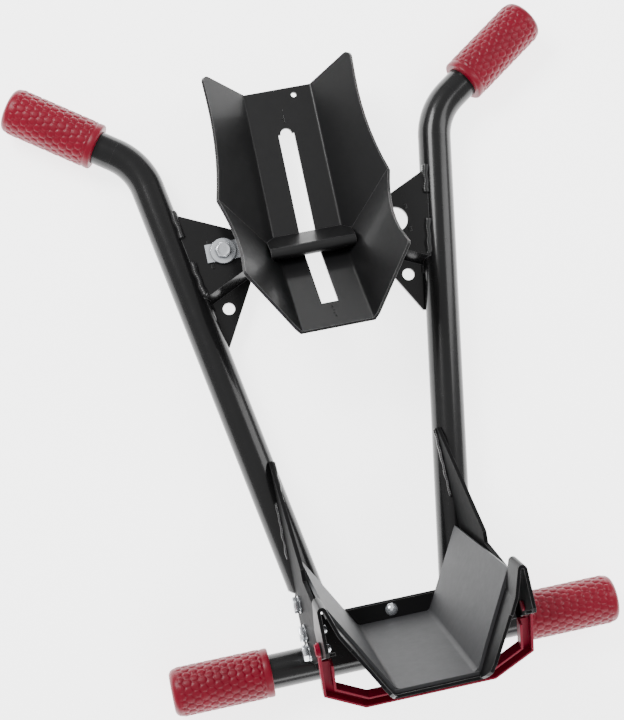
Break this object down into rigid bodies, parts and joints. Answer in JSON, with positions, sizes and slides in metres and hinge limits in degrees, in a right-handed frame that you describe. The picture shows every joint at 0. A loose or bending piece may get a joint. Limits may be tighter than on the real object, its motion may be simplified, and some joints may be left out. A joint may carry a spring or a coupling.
{
  "type": "drywall lift",
  "caption": "Two-handed lifting frame: bent tube handles, cross tube with end grips, a rocking V-trough cradle and a deep toe cradle with a swinging kick bar.",
  "frame": {"origin": "centre of the bounding box on X and Y, at the lowest points of the grips on Z", "axes": "+X across the frame, +Y up the frame from the toe cradle to the bent handles, +Z out of the plane of the tubes, on the side of the cradles"},
  "size_m": [0.5314, 0.6207, 0.259],
  "materials": {
    "frame_black": "satin",
    "cradle_black": "satin",
    "grey_paint": "satin",
    "crimson_paint": "satin",
    "red_rubber": "matte",
    "zinc_hardware": "bright zinc",
    "nylon": "matte"
  },
  "bodies": {
    "frame": {"left_frame_tube": "frame_black", "right_frame_tube": "frame_black", "cross_tube": "frame_black", "left_handle_grip": "red_rubber", "right_handle_grip": "red_rubber", "left_foot_grip": "red_rubber", "right_foot_grip": "red_rubber", "left_bracket": "frame_black", "right_bracket": "frame_black", "keeper_bar": "zinc_hardware", "keeper_washers": "zinc_hardware", "keeper_bolt": "zinc_hardware", "keeper_nut": "zinc_hardware", "pivot_bolt": "zinc_hardware", "pivot_nut": "zinc_hardware", "pivot_thrust_washers": "zinc_hardware", "left_side_plate": "frame_black", "right_side_plate": "frame_black", "rear_crossmember": "frame_black", "lower_cradle": "cradle_black", "toe_liner": "grey_paint", "side_bolts": "zinc_hardware", "side_washers": "zinc_hardware", "side_nuts": "zinc_hardware", "toe_bolt": "zinc_hardware", "toe_washer": "zinc_hardware", "toe_nut": "zinc_hardware"},
    "rocker": {"upper_cradle": "cradle_black", "cradle_crossbar": "cradle_black", "pivot_sleeve": "frame_black", "left_pivot_bush": "nylon", "right_pivot_bush": "nylon"},
    "kick_bar_assembly": {"kick_bar": "crimson_paint", "kick_bar_pins": "crimson_paint", "kick_bar_washers": "nylon"}
  },
  "joints": [
    {"name": "upper_cradle_pivot", "type": "hinge", "parent": "frame", "child": "rocker", "pos_m": [0, 0.11498, 0.012], "axis": [1, 0, 0], "range_deg": [0, 40]},
    {"name": "kick_bar_swing", "type": "hinge", "parent": "frame", "child": "kick_bar_assembly", "pos_m": [0, -0.25502, 0.227], "axis": [-1, 0, 0], "range_deg": [0, 96]}
  ]
}
